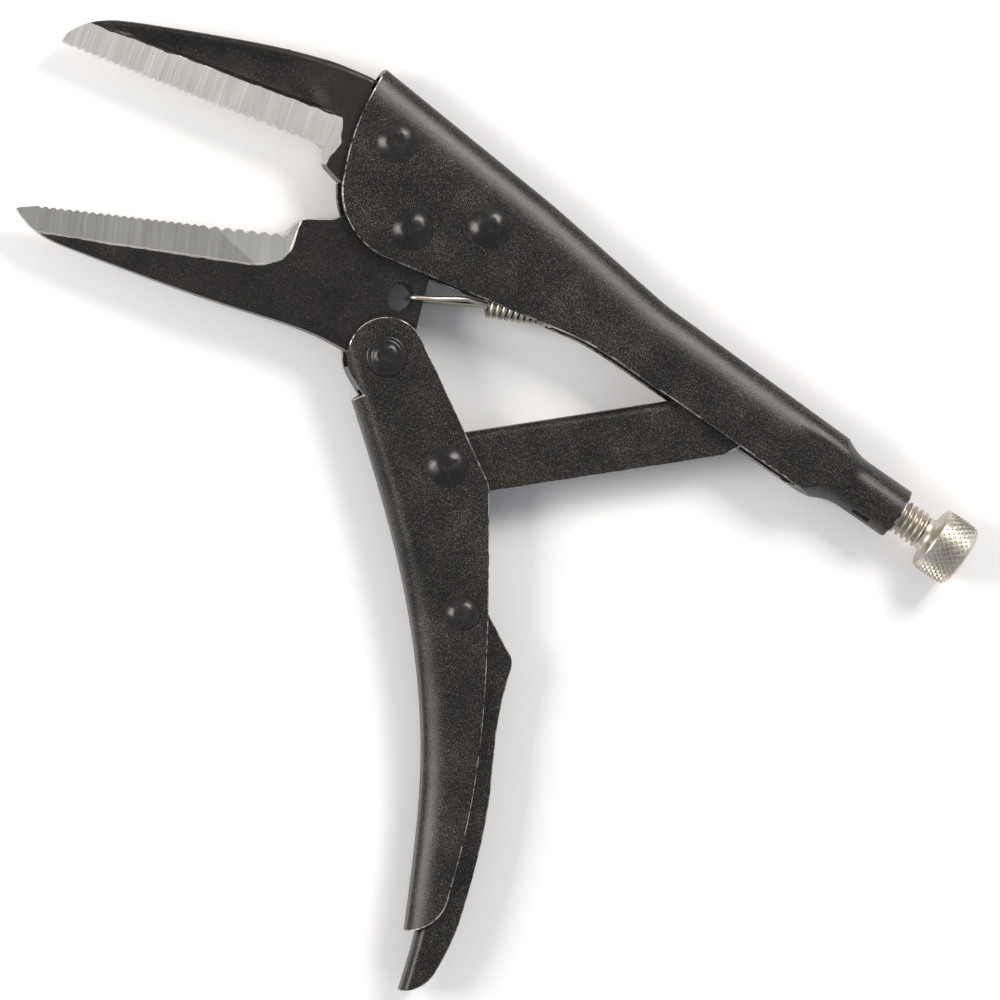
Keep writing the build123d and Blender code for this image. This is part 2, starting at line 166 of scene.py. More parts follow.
# Speckled black: the shared group of the blackened pieces
blackening, b_in, b_out = group_of(
    "speckled_blackening",
    {"Dark": (0.0045, 0.0036, 0.003, 1), "Speck": (0.2, 0.18, 0.16, 1), "Amount": 0.5, "Wear": 0.0,
     "Polish": 0.0},
    {"Color": "NodeSocketColor", "Roughness": "NodeSocketFloat", "Metal": "NodeSocketFloat",
     "Height": "NodeSocketFloat"},
)
place = node(blackening, "ShaderNodeTexCoord").outputs["Object"]
specks = node(blackening, "ShaderNodeTexNoise",
              {"Vector": place, "Scale": 5000, "Detail": 2.0, "Roughness": 0.6}).outputs["Fac"]
clouds = node(blackening, "ShaderNodeTexNoise",
              {"Vector": place, "Scale": 95, "Detail": 4.0, "Roughness": 0.6}).outputs["Fac"]
rubs = node(blackening, "ShaderNodeTexNoise",
            {"Vector": place, "Scale": 420, "Detail": 5.0, "Roughness": 0.7}).outputs["Fac"]
cloud_share = span(blackening, clouds, 0.35, 0.68)
edge_of_speck = sums(blackening, "SUBTRACT", 0.66, sums(blackening, "MULTIPLY", cloud_share, 0.05))
past_edge = sums(blackening, "SUBTRACT", specks, edge_of_speck)
speck_share = sums(blackening, "MULTIPLY", span(blackening, past_edge, -0.075, 0.06),
                   b_in.outputs["Amount"])
dark_tone = blend_of(blackening, cloud_share, b_in.outputs["Dark"], (0.010, 0.008, 0.0068, 1))
black_tone = blend_of(blackening, speck_share, dark_tone, b_in.outputs["Speck"])
worn = sums(blackening, "MULTIPLY", span(blackening, rubs, 0.40, 0.60, smooth=True),
            b_in.outputs["Wear"])
worn = sums(blackening, "MULTIPLY", span(blackening, clouds, 0.40, 0.56, 0.12, 1.0), worn)
color = blend_of(blackening, worn, black_tone, (0.78, 0.74, 0.7, 1))
gloss = sums(blackening, "ADD", sums(blackening, "MULTIPLY", worn, 0.08), b_in.outputs["Polish"])
rough = sums(blackening, "SUBTRACT", span(blackening, specks, 0.3, 0.7, 0.28, 0.36), gloss)
height = sums(blackening, "ADD", specks, sums(blackening, "MULTIPLY", rubs, 0.5))
for label, socket in (("Color", color), ("Roughness", rough), ("Metal", worn), ("Height", height)):
    blackening.links.new(socket, b_out.inputs[label])


def black_material(name, bump, **values):
    """A blackened steel finish; bump is the grain's strength."""
    made = bpy.data.materials.new(name)
    made.use_nodes = True
    tree = made.node_tree
    shader = tree.nodes["Principled BSDF"]
    finish = tree.nodes.new("ShaderNodeGroup")
    finish.node_tree = blackening
    for label, value in values.items():
        finish.inputs[label].default_value = value
    relief = node(tree, "ShaderNodeBump",
                  {"Strength": bump, "Distance": 0.00006, "Height": finish.outputs["Height"]})
    tree.links.new(finish.outputs["Color"], shader.inputs["Base Color"])
    tree.links.new(finish.outputs["Roughness"], shader.inputs["Roughness"])
    tree.links.new(finish.outputs["Metal"], shader.inputs["Metallic"])
    shader.inputs["Specular IOR Level"].default_value = 0.34
    tree.links.new(relief.outputs["Normal"], shader.inputs["Normal"])
    return made


sheet_black = black_material("sheet_black", 0.4, Amount=0.8)
sheet_edge = black_material("sheet_edge_worn", 0.3, Amount=0.5, Wear=0.85)


def select_only(piece):
    """Makes one object the only selected and active one."""
    bpy.ops.object.select_all(action="DESELECT")
    piece.select_set(True)
    bpy.context.view_layer.objects.active = piece


def copy_of(cad_node, name):
    """A whole mesh from a CAD node's loose triangles, with its flat faces in one."""
    piece = bpy.data.objects.new(name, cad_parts[cad_node].data.copy())
    bpy.context.scene.collection.objects.link(piece)
    piece.data.materials.clear()
    select_only(piece)
    bpy.ops.object.mode_set(mode="EDIT")
    bpy.ops.mesh.select_all(action="SELECT")
    bpy.ops.mesh.remove_doubles(threshold=0.000006)
    bpy.ops.mesh.dissolve_degenerate(threshold=0.000006)
    bpy.ops.mesh.customdata_custom_splitnormals_clear()
    bpy.ops.mesh.dissolve_limited(angle_limit=radians(0.4))
    bpy.ops.object.mode_set(mode="OBJECT")
    return piece


def round_edges(piece, width, sharp=58, segments=2):
    """Breaks every sharp edge with a small bevel in the piece's second material."""
    select_only(piece)
    bpy.ops.object.mode_set(mode="EDIT")
    bpy.ops.mesh.select_all(action="DESELECT")
    bpy.ops.mesh.select_mode(type="EDGE")
    bpy.ops.mesh.edges_select_sharp(sharpness=radians(sharp))
    bpy.ops.mesh.bevel(offset=width, segments=segments, profile=0.5, clamp_overlap=False,
                       material=1)
    bpy.ops.mesh.select_mode(type="VERT")
    bpy.ops.object.mode_set(mode="OBJECT")


def smooth(piece, angle=32):
    """Smooth shading that leaves large flat faces flat."""
    select_only(piece)
    bpy.ops.object.shade_smooth_by_angle(angle=radians(angle))
    bpy.ops.object.modifier_add(type="WEIGHTED_NORMAL")
    piece.modifiers[-1].keep_sharp = True
    bpy.ops.object.modifier_apply(modifier=piece.modifiers[-1].name)


def ramp(value, low, high):
    """0 below low, 1 above high, and a smooth rise between."""
    share = min(1.0, max(0.0, (value - low) / (high - low)))
    return share * share * (3 - 2 * share)


def cut_along(origin, direction, offsets):
    """Cuts the whole mesh beside a line in the tool's plane, to give it rows of points."""
    beside = Vector((-direction.y, direction.x, 0))
    for offset in offsets:
        bpy.ops.mesh.select_all(action="SELECT")
        bpy.ops.mesh.bisect(plane_co=(origin + offset * MM * beside)[:], plane_no=beside[:])


def grid_cut(origin, direction, lengths, widths):
    """Cuts the whole mesh on a grid laid on a line in the tool's plane."""
    bpy.ops.object.mode_set(mode="EDIT")
    cut_along(origin, direction, widths)
    cut_along(origin, Vector((direction.y, -direction.x, 0)), lengths)
    bpy.ops.object.mode_set(mode="OBJECT")


def curve_through(points, steps):
    """A smooth line of points through the given ones."""
    line = []
    ends = [2 * points[0] - points[1], *points, 2 * points[-1] - points[-2]]
    for a, b, c, d in zip(ends, ends[1:], ends[2:], ends[3:]):
        for i in range(steps):
            t = i / steps
            bow = 2 * a - 5 * b + 4 * c - d + t * (3 * (b - c) + d - a)
            line.append(b + 0.5 * t * ((c - a) + t * bow))
    return [*line, points[-1]]


def distance_to(line, x, y):
    """The distance in millimetres from a place to a line of points."""
    place = Vector((x, y, 0))
    nearest = 1000.0
    for a, b in zip(line, line[1:]):
        along = max(0.0, min(1.0, (place - a).dot(b - a) / (b - a).length_squared))
        nearest = min(nearest, (place - a - along * (b - a)).length)
    return nearest


# In millimetres: what counts as a sheet's inner face, its web at the fold, and the room to keep
INNER_FACE = 4.45
FOLD_WEB = 1.3
LEAST_ROOM = 3.85


def round_fold(piece, line, half_at):
    """Rounds a folded sheet; half_at(u, x, y) is half its thickness, u inside the fold's line."""
    for point in piece.data.vertices:
        x, y, off = point.co.x / MM, point.co.y / MM, (point.co.z - MIDDLE) / MM
        u = distance_to(line, x, y)
        limit = half_at(u, x, y)
        if abs(off) < INNER_FACE and u > FOLD_WEB:
            limit = max(limit - 0.25, LEAST_ROOM)
        if 1.0 < abs(off) and limit < abs(off):
            point.co.z = MIDDLE + (limit if off > 0 else -limit) * MM


UPPER_FOLD = [Vector((x, y, 0)) for x, y in
              ((-26.0, 25.95), (23.0, 22.0), (55.5, 18.0), (125.5, 16.2))]
LOWER_FOLD = curve_through([Vector((x, y, 0)) for x, y in
                            ((10.3, -37.4), (41.3, -63.5), (66.6, -93.5), (84.3, -126.2))], 6)


def upper_half(u, x, y):
    """The upper handle's fold is broad all the way to the tube."""
    shape = (1 - (1 - min(1.0, u / 9.5)) ** 2.3) ** 0.62
    return 1.9 + 3.95 * shape + 6 * ramp(x, 94, 106)


def lower_half(u, x, y):
    """The lower handle's fold grows broader towards its tail."""
    width = 3.2 + 7.0 * ramp(x, 30, 62)
    shape = (1 - (1 - min(1.0, u / width)) ** 2.2) ** 0.65
    return 2.2 + 3.65 * shape + 6 * ramp(y, -48, -38)


EDGE_BREAK = 0.24
for cad_node in ("upper_handle", "lower_handle", "toggle_link", "release_lever"):
    piece = copy_of(cad_node, cad_node + "_sheet")
    piece.data.materials.append(sheet_black)
    piece.data.materials.append(sheet_edge)
    round_edges(piece, EDGE_BREAK * MM)
    if cad_node == "upper_handle":
        bpy.ops.object.select_all(action="DESELECT")
        bpy.ops.mesh.primitive_cube_add(size=1, location=(0.1166, 0.0040, MIDDLE + 3.4 * MM),
                                        rotation=(0, 0, radians(4)), scale=(0.0042, 0.0010, 0.0028))
        slot = bpy.context.object
        select_only(piece)
        crimp = piece.modifiers.new("crimp_slot", "BOOLEAN")
        crimp.object = slot
        bpy.ops.object.modifier_apply(modifier="crimp_slot")
        bpy.data.objects.remove(slot)
        grid_cut(UPPER_FOLD[0] * MM, Vector((0.9979, -0.0642, 0)), [1 + 4 * i for i in range(37)],
                 [-0.6 - 0.8 * i for i in range(17)])
        round_fold(piece, UPPER_FOLD, upper_half)
    if cad_node == "lower_handle":
        grid_cut(LOWER_FOLD[0] * MM, Vector((0.6401, -0.7683, 0)), [-1 + 3 * i for i in range(40)],
                 [-3 + 0.8 * i for i in range(26)])
        round_fold(piece, LOWER_FOLD, lower_half)
    smooth(piece)
    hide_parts(cad_node)
    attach(piece, cad_node)

# ------------------------------------------------------------------ jaws
# Two forgings, black with hammer scale. Their raised faces are tinted a lighter brown, partly scale
# and partly a painted highlight, which leaves the upper jaw's scoop darker as painted shade. The
# upper one is riveted between the side plates and the lower one turns on a rivet; the faces beside
# their teeth are ground bright.
ground, g_in, g_out = group_of(
    "ground_steel", {"Angle": 0.0, "Tone": (0.5, 0.49, 0.46, 1)},
    {"Color": "NodeSocketColor", "Roughness": "NodeSocketFloat", "Height": "NodeSocketFloat"},
)
lay = node(ground, "ShaderNodeCombineXYZ", {"Z": g_in.outputs["Angle"]}).outputs[0]
turned_place = node(ground, "ShaderNodeVectorRotate",
                    {"Vector": node(ground, "ShaderNodeTexCoord").outputs["Object"],
                     "Rotation": lay}, rotation_type="EULER_XYZ").outputs[0]
FINE_LAY = (3300, 60, 60)
BROAD_LAY = (260, 40, 40)
fine = node(ground, "ShaderNodeVectorMath", {0: turned_place, 1: FINE_LAY},
            operation="MULTIPLY").outputs[0]
lines = node(ground, "ShaderNodeTexNoise",
             {"Vector": fine, "Scale": 1.0, "Detail": 4.0}).outputs["Fac"]
wide = node(ground, "ShaderNodeVectorMath", {0: turned_place, 1: BROAD_LAY},
            operation="MULTIPLY").outputs[0]
broad = node(ground, "ShaderNodeTexNoise",
             {"Vector": wide, "Scale": 1.0, "Detail": 2.0}).outputs["Fac"]
LIGHTER, DARKER = (1.16, 1.16, 1.16), (0.84, 0.84, 0.84)
tone = blend_of(ground, span(ground, lines, 0.3, 0.7), g_in.outputs["Tone"],
                node(ground, "ShaderNodeVectorMath", {0: g_in.outputs["Tone"], 1: LIGHTER},
                     operation="MULTIPLY").outputs[0])
tone = blend_of(ground, span(ground, broad, 0.35, 0.65, 0.0, 0.4), tone,
                node(ground, "ShaderNodeVectorMath", {0: g_in.outputs["Tone"], 1: DARKER},
                     operation="MULTIPLY").outputs[0])
ground.links.new(tone, g_out.inputs["Color"])
ground.links.new(span(ground, lines, 0.3, 0.7, 0.36, 0.44), g_out.inputs["Roughness"])
ground.links.new(lines, g_out.inputs["Height"])


def jaw_material(name, angle, steel, sides, scale_and_highlight_tone, lighter=None):
    """A black forging, its raised faces tinted a lighter brown (scale with a painted highlight,
    which leaves hollows darker as painted shade), and ground inside the half planes of sides.
    """
    made = black_material(name, 0.3, Amount=0.4)
    tree = made.node_tree
    shader = tree.nodes["Principled BSDF"]
    black = next(n for n in tree.nodes if n.type == "GROUP")
    bright = tree.nodes.new("ShaderNodeGroup")
    bright.node_tree = ground
    bright.inputs["Angle"].default_value = angle
    bright.inputs["Tone"].default_value = steel
    spot = node(tree, "ShaderNodeTexCoord").outputs["Object"]
    wobble = node(tree, "ShaderNodeTexNoise",
                  {"Vector": spot, "Scale": 260, "Detail": 3.0}).outputs["Fac"]
    inside = None
    for x, y, distance in sides:
        dot = node(tree, "ShaderNodeVectorMath", {0: spot, 1: (x, y, 0)}, operation="DOT_PRODUCT")
        depth = sums(tree, "SUBTRACT", dot.outputs["Value"], distance * MM)
        inside = depth if inside is None else sums(tree, "MINIMUM", inside, depth)
    ragged = sums(tree, "ADD", inside,
                  sums(tree, "MULTIPLY", sums(tree, "SUBTRACT", wobble, 0.5), 0.0011))
    mask = span(tree, ragged, 0.0, 0.00012)
    # Lighter brown where the faces stand out from the middle: partly forging scale, partly a
    # painted highlight, with the pressed-in scoop left darker as painted shade.
    level = node(tree, "ShaderNodeSeparateXYZ", {0: spot}).outputs["Z"]
    level = sums(tree, "ABSOLUTE", sums(tree, "SUBTRACT", level, MIDDLE), 0.0)
    raised = sums(tree, "ADD", level,
                  sums(tree, "MULTIPLY", sums(tree, "SUBTRACT", wobble, 0.5), 0.0012))
    scale_and_sheen_colour = blend_of(tree, span(tree, raised, 2.7 * MM, 3.9 * MM, 0.0, 0.4),
                      black.outputs["Color"], scale_and_highlight_tone)
    steel_tone = bright.outputs["Color"]
    if lighter:
        dot = node(tree, "ShaderNodeVectorMath", {0: spot, 1: (lighter[0], lighter[1], 0)},
                   operation="DOT_PRODUCT")
        share = span(tree, dot.outputs["Value"], lighter[2] * MM, (lighter[2] + 0.5) * MM,
                     0.0, 0.55)
        steel_tone = blend_of(tree, share, steel_tone, (0.58, 0.57, 0.53, 1))
    both = blend_of(tree, mask, scale_and_sheen_colour, steel_tone)
    tree.links.new(both, shader.inputs["Base Color"])
    tree.links.new(mask, shader.inputs["Metallic"])
    rough = span(tree, mask, 0.0, 1.0, black.outputs["Roughness"], bright.outputs["Roughness"])
    tree.links.new(rough, shader.inputs["Roughness"])
    return made


def side_through(a, b):
    """The half plane to the left of the line from a to b, in the plane of the jaws."""
    length = hypot(b[0] - a[0], b[1] - a[1])
    x, y = -(b[1] - a[1]) / length, (b[0] - a[0]) / length
    return (x, y, x * a[0] + y * a[1])


# The last colour given to each jaw tints its raised faces: brown scale with a painted highlight.
upper_ground = jaw_material("fixed_jaw_forged", radians(-14), (0.62, 0.60, 0.56, 1), [
    side_through((-25.9, 11.5), (-82.7, -2.4)),
    side_through((-23.3, 1.0), (-23.2, 7.0)),
    side_through((-23.2, 7.0), (-25.9, 11.5)),
], (0.021, 0.017, 0.015, 1))
LOWER_LINE = ((-65.6, -45.9), (-25.0, -26.4), (-21.6, -24.2), (-19.5, -21.3), (-19.0, -18.6),
              (-20.2, -13.6))
LOWER_STRIP = [side_through(a, b) for a, b in zip(LOWER_LINE, LOWER_LINE[1:])]
lower_ground = jaw_material("lower_jaw_forged", radians(-28), (0.36, 0.35, 0.325, 1), LOWER_STRIP,
                            (0.007, 0.0055, 0.0045, 1),
                            side_through((-34.6, -23.9), (-22.7, -25.7)))


def press_in(piece, depth_at):
    """Presses both flanks of a piece towards its middle, by depth_at(x, y) in millimetres."""
    for point in piece.data.vertices:
        off_middle = point.co.z - MIDDLE
        if abs(off_middle) > 1.2 * MM:
            depth = depth_at(point.co.x / MM, point.co.y / MM) * MM
            point.co.z -= depth if off_middle > 0 else -depth


def break_edges(piece, chosen, width, segments):
    """Rounds the sharp edges whose middles are chosen(x, y)."""
    select_only(piece)
    bpy.ops.object.mode_set(mode="EDIT")
    bpy.ops.mesh.select_all(action="DESELECT")
    bpy.ops.mesh.select_mode(type="EDGE")
    bpy.ops.mesh.edges_select_sharp(sharpness=radians(45))
    bpy.ops.object.mode_set(mode="OBJECT")
    points = piece.data.vertices
    for edge in piece.data.edges:
        middle = (points[edge.vertices[0]].co + points[edge.vertices[1]].co) / 2
        across_flank = abs(points[edge.vertices[0]].co.z - points[edge.vertices[1]].co.z) < 0.6 * MM
        edge.select = edge.select and across_flank and chosen(middle.x / MM, middle.y / MM)
    bpy.ops.object.mode_set(mode="EDIT")
    bpy.ops.mesh.bevel(offset=width, segments=segments, profile=0.5, clamp_overlap=False)
    bpy.ops.mesh.select_mode(type="VERT")
    bpy.ops.object.mode_set(mode="OBJECT")


# Upper jaw: a long scoop is forged between the ground strip and the rounded back
BACK_OF_JAW = ((0, 0.3), (11.7, 4.1), (29.3, 7.6), (47.0, 10.2), (63.0, 10.2))
strip_start = Vector((-82.7, -2.4, 0)) * MM
strip_way = Vector((56.8, 13.9, 0)).normalized()


def scoop(x, y):
    """How deep the upper jaw's scoop is at a place."""
    along = ((x + 82.7) * strip_way.x + (y + 2.4) * strip_way.y)
    up = (y + 2.4) * strip_way.x - (x + 82.7) * strip_way.y
    if up <= 0 or x > -24:
        return 0
    top = BACK_OF_JAW[-1][1]
    for (u0, v0), (u1, v1) in zip(BACK_OF_JAW, BACK_OF_JAW[1:]):
        if u0 <= along <= u1:
            top = v0 + (v1 - v0) * (along - u0) / (u1 - u0)
    end = 58 - 0.12 * up - 0.15 * up * up
    depth = 0.55 + 0.021 * along
    return depth * ramp(up, 0, 1.1) * ramp(top - up, 0.9, 3.2) * ramp(end - along, 0, 9)


jaw = copy_of("fixed_jaw", "fixed_jaw_forging")
jaw.data.materials.append(upper_ground)
BACK_ROUNDING = 1.2
break_edges(jaw, lambda x, y: -80 < x < -24.2 and (y + 2.4) * 0.971 - (x + 82.7) * 0.24 > 0.6,
            BACK_ROUNDING * MM, 5)
bpy.ops.object.mode_set(mode="EDIT")
cut_along(strip_start, strip_way,
          [0, 0.3, 0.6, 0.9, 1.8, 2.8, 3.8, 4.8, 5.8, 6.6, 7.4, 8.2, 9.0, 9.8])
cut_along(strip_start, Vector((strip_way.y, -strip_way.x, 0)), [2 + 2 * i for i in range(24)])
cut_along(strip_start, Vector((strip_way.y, -strip_way.x, 0)), [50.5 + 0.8 * i for i in range(10)])
bpy.ops.object.mode_set(mode="OBJECT")
press_in(jaw, scoop)
smooth(jaw, 38)
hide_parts("fixed_jaw")
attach(jaw, "upper_handle")


# Lower jaw: its ground strip is cut a little below the black forging and runs out in a curve
def strip_depth(x, y):
    """How far the lower jaw's ground strip lies below the black part."""
    inside = 99
    for nx, ny, distance in LOWER_STRIP:
        inside = min(inside, nx * x + ny * y - distance)
    return 0.38 * ramp(inside, -0.02, 0.5)


jaw = copy_of("lower_jaw", "lower_jaw_forging")
jaw.data.materials.append(lower_ground)
BELLY_BREAK = 0.3
break_edges(jaw, lambda x, y: (y + 45.9) * 0.901 - (x + 65.6) * 0.433 < -0.5 or x > -18.5,
            BELLY_BREAK * MM, 3)
bpy.ops.object.mode_set(mode="EDIT")
for (start, stop) in zip(LOWER_LINE, LOWER_LINE[1:]):
    way = Vector((stop[0] - start[0], stop[1] - start[1], 0)).normalized()
    cut_along(Vector((start[0], start[1], 0)) * MM, way, [0, 0.25, 0.5])
bpy.ops.object.mode_set(mode="OBJECT")
press_in(jaw, strip_depth)
smooth(jaw, 38)
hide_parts("lower_jaw")
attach(jaw, "lower_jaw")

# ------------------------------------------------------------------ rivets
# Steel rivets with round heads, closed by hammer blows that leave flats on them, and blackened.
# The one that carries the lower handle has a flat rim round a smaller dome.
rivet_black = black_material("rivet_black", 0.35, Amount=0.18, Wear=0.012, Polish=0.06)
rivet_black.node_tree.nodes["Principled BSDF"].inputs["Specular IOR Level"].default_value = 0.42
HEAD_BASE = 13.45 * MM
HEAD_TOP = 15.2 * MM
WIDTH_OVER_PLATES = 11.7
SHANK_RADIUS = 3.0
LEVER_SHANK_RADIUS = 2.6
# Each hammer blow: its heading in degrees, its slope and how high on the dome it fell
BLOWS = ((75, 0.35, 0.93), (200, 0.30, 0.90), (310, 0.28, 0.95))


def rivet_head(centre, radius, crown, turn):
    """One head: a half ball flattened to a dome, with a flat where each blow fell."""
    bpy.ops.object.select_all(action="DESELECT")
    bpy.ops.mesh.primitive_uv_sphere_add(segments=56, ring_count=36, radius=1)
    head = bpy.context.object
    bpy.ops.object.mode_set(mode="EDIT")
    bpy.ops.mesh.select_all(action="SELECT")
    bpy.ops.mesh.bisect(plane_co=(0, 0, 0), plane_no=(0, 0, 1), clear_inner=True, use_fill=True)
    bpy.ops.object.mode_set(mode="OBJECT")
    rise = HEAD_TOP - HEAD_BASE
    for point in head.data.vertices:
        out = min(1.0, hypot(point.co.x, point.co.y))
        if crown and out < crown:
            lift = 0.3 + 0.7 * (1 - (out / crown) ** 2.1) ** 0.75
        elif crown:
            lift = 0.3 * min(1.0, (1 - out) / 0.1) ** 0.5
        else:
            lift = ((2.25 - out * out) ** 0.5 - 1.118) / 0.382
        for heading, slope, level in BLOWS:
            away = radians(heading + turn)
            flat = level - (point.co.x * cos(away) + point.co.y * sin(away)) * slope
            lift -= 0.75 * max(0.0, lift - flat)
        crater = Vector((point.co.x - 0.1 * cos(turn), point.co.y - 0.1 * sin(turn), 0)).length
        lift -= 0.10 * (1 - ramp(crater, 0.05, 0.26))
        lift += 0.07 * (1 - out) * noise.noise(Vector((point.co.x * 3.2, point.co.y * 3.2, turn)))
        height = HEAD_BASE - 0.05 * MM
        if point.co.z > 1e-6 or out < 0.999:
            height += (rise + 0.05 * MM) * max(0.0, min(1.0, lift))
        point.co = (centre[0] * MM + point.co.x * radius,
                    centre[1] * MM + point.co.y * radius, height)
    return head


RIVETS = (
    ("fixed_jaw_front_rivet", "upper_handle", (-13.3, 13.7), 4.6, 0, 0),
    ("fixed_jaw_rear_rivet", "upper_handle", (13.7, 9.8), 4.6, 0, 25),
    ("jaw_pivot_rivet", "upper_handle", (0, 0), 4.6, 0, 10),
    ("handle_pivot_rivet", "lower_handle", (10.7, -25.9), 4.6, 0.72, 0),
    ("link_pivot_rivet", "lower_handle", (35.2, -38.2), 4.6, 0, -15),
    ("release_lever_rivet", "lower_handle", (55.6, -62.7), 3.9, 0, 5),
)
for cad_node, body, centre, radius, crown, turn in RIVETS:
    upper = rivet_head(centre, radius * MM, crown, turn)
    lower = rivet_head(centre, radius * MM, crown, turn + 70)
    lower.data.transform(Matrix.Translation((0, 0, 2 * MIDDLE)) @ Matrix.Diagonal((1, 1, -1, 1)))
    lower.data.flip_normals()
    shank = LEVER_SHANK_RADIUS if radius < 4 else SHANK_RADIUS
    bpy.ops.object.select_all(action="DESELECT")
    bpy.ops.mesh.primitive_cylinder_add(
        vertices=40, radius=shank * MM, depth=WIDTH_OVER_PLATES * MM,
        location=(centre[0] * MM, centre[1] * MM, MIDDLE))
    piece = bpy.context.object
    upper.select_set(True)
    lower.select_set(True)
    bpy.ops.object.join()
    bpy.ops.object.transform_apply(location=True, rotation=True, scale=True)
    piece.name = cad_node + "_hammered"
    piece.data.materials.append(rivet_black)
    smooth(piece, 50)
    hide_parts(cad_node)
    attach(piece, body)

# ------------------------------------------------------------------ adjusting screw
# A nickel-plated steel screw with a rolled thread, plain under its knob. It runs in the tube at
# the rear of the upper handle.
nickel = bpy.data.materials.new("nickel_plate")
nickel.use_nodes = True
nickel_tree = nickel.node_tree
nickel_shader = nickel_tree.nodes["Principled BSDF"]
spot = node(nickel_tree, "ShaderNodeTexCoord").outputs["Object"]
stain = node(nickel_tree, "ShaderNodeTexNoise",
             {"Vector": spot, "Scale": 330, "Detail": 5.0}).outputs["Fac"]
scuffs = node(nickel_tree, "ShaderNodeTexNoise",
              {"Vector": spot, "Scale": 2100, "Detail": 3.0}).outputs["Fac"]
plated = blend_of(nickel_tree, span(nickel_tree, stain, 0.36, 0.66),
                  (0.62, 0.585, 0.52, 1), (0.5, 0.45, 0.37, 1))
nickel_tree.links.new(plated, nickel_shader.inputs["Base Color"])
nickel_tree.links.new(span(nickel_tree, scuffs, 0.3, 0.7, 0.3, 0.46),
                      nickel_shader.inputs["Roughness"])
nickel_shader.inputs["Metallic"].default_value = 1.0
relief = node(nickel_tree, "ShaderNodeBump",
              {"Strength": 0.12, "Distance": 0.00003, "Height": scuffs})
nickel_tree.links.new(relief.outputs["Normal"], nickel_shader.inputs["Normal"])

SCREW_LINE = Vector((0, 9.2 * MM, MIDDLE))
PITCH = 1.411
THREAD_TURNS = 25
THREAD_START, THREAD_END = 96.3, 130.3


def turned(name, outline, sides=72):
    """A piece turned on the screw's line, through each (x, radius) in millimetres."""
    bpy.ops.object.select_all(action="DESELECT")
    x, radius = outline[0]
    bpy.ops.mesh.primitive_circle_add(vertices=sides, radius=radius * MM, fill_type="NGON",
                                      location=SCREW_LINE + Vector((x * MM, 0, 0)),
                                      rotation=(0, radians(90), 0))
    piece = bpy.context.object
    bpy.ops.object.transform_apply(location=True, rotation=True, scale=True)
    bpy.ops.object.mode_set(mode="EDIT")
    for next_x, next_radius in outline[1:]:
        bpy.ops.mesh.extrude_region_move(
            TRANSFORM_OT_translate={"value": ((next_x - x) * MM, 0, 0)})
        grow = next_radius / radius
        bpy.ops.transform.resize(value=(1, grow, grow),
                                 center_override=(next_x * MM, *SCREW_LINE[1:]))
        x, radius = next_x, next_radius
    bpy.ops.mesh.select_all(action="SELECT")
    bpy.ops.mesh.normals_make_consistent(inside=False)
    bpy.ops.object.mode_set(mode="OBJECT")
    piece.name = name
    piece.data.materials.append(nickel)
    return piece


thread_line = [(0.0, 3.05), (0.1, 3.1), (0.5, 3.9), (0.62, 4.0), (0.80, 4.0), (0.92, 3.9),
               (1.31, 3.1), (PITCH, 3.05)]
bpy.ops.object.select_all(action="DESELECT")
bpy.ops.mesh.primitive_plane_add(size=0.0001, location=(95 * MM, 0, thread_line[0][1] * MM))
thread = bpy.context.object
bpy.ops.object.transform_apply(location=True, rotation=True, scale=True)
bpy.ops.object.mode_set(mode="EDIT")
bpy.ops.mesh.merge(type="CENTER")
for (x0, radius0), (x1, radius1) in zip(thread_line, thread_line[1:]):
    bpy.ops.mesh.extrude_vertices_move(
        TRANSFORM_OT_translate={"value": ((x1 - x0) * MM, 0, (radius1 - radius0) * MM)})
bpy.ops.object.mode_set(mode="OBJECT")
winding = thread.modifiers.new("winding", "SCREW")
winding.axis = "X"
winding.steps = winding.render_steps = 40
winding.iterations = THREAD_TURNS
winding.screw_offset = PITCH * MM
winding.use_merge_vertices = False
bpy.ops.object.modifier_apply(modifier="winding")
bpy.ops.object.mode_set(mode="EDIT")
bpy.ops.mesh.select_all(action="SELECT")
bpy.ops.mesh.remove_doubles(threshold=0.00001)
for cut, keep in ((THREAD_START, 1), (THREAD_END, -1)):
    bpy.ops.mesh.select_all(action="SELECT")
    bpy.ops.mesh.bisect(plane_co=(cut * MM, 0, 0), plane_no=(keep, 0, 0), clear_inner=True,
                        use_fill=True)
bpy.ops.mesh.select_all(action="SELECT")
bpy.ops.mesh.normals_make_consistent(inside=False)
bpy.ops.object.mode_set(mode="OBJECT")
thread.data.transform(Matrix.Translation(SCREW_LINE))
thread.data.materials.append(nickel)

shank = turned("screw_shank", [
    (94.0, 2.4), (94.4, 3.1), (96.4, 3.2), (96.5, 3.0), (130.0, 3.0), (130.2, 3.55),
    (130.9, 3.6), (131.5, 3.8), (131.9, 4.2), (132.2, 4.8), (132.5, 5.4), (139.4, 3.0)])
select_only(thread)
shank.select_set(True)
bpy.ops.object.join()
smooth(thread, 40)
thread.name = "adjusting_screw_threaded"
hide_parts("adjusting_screw")
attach(thread, "adjusting_screw")

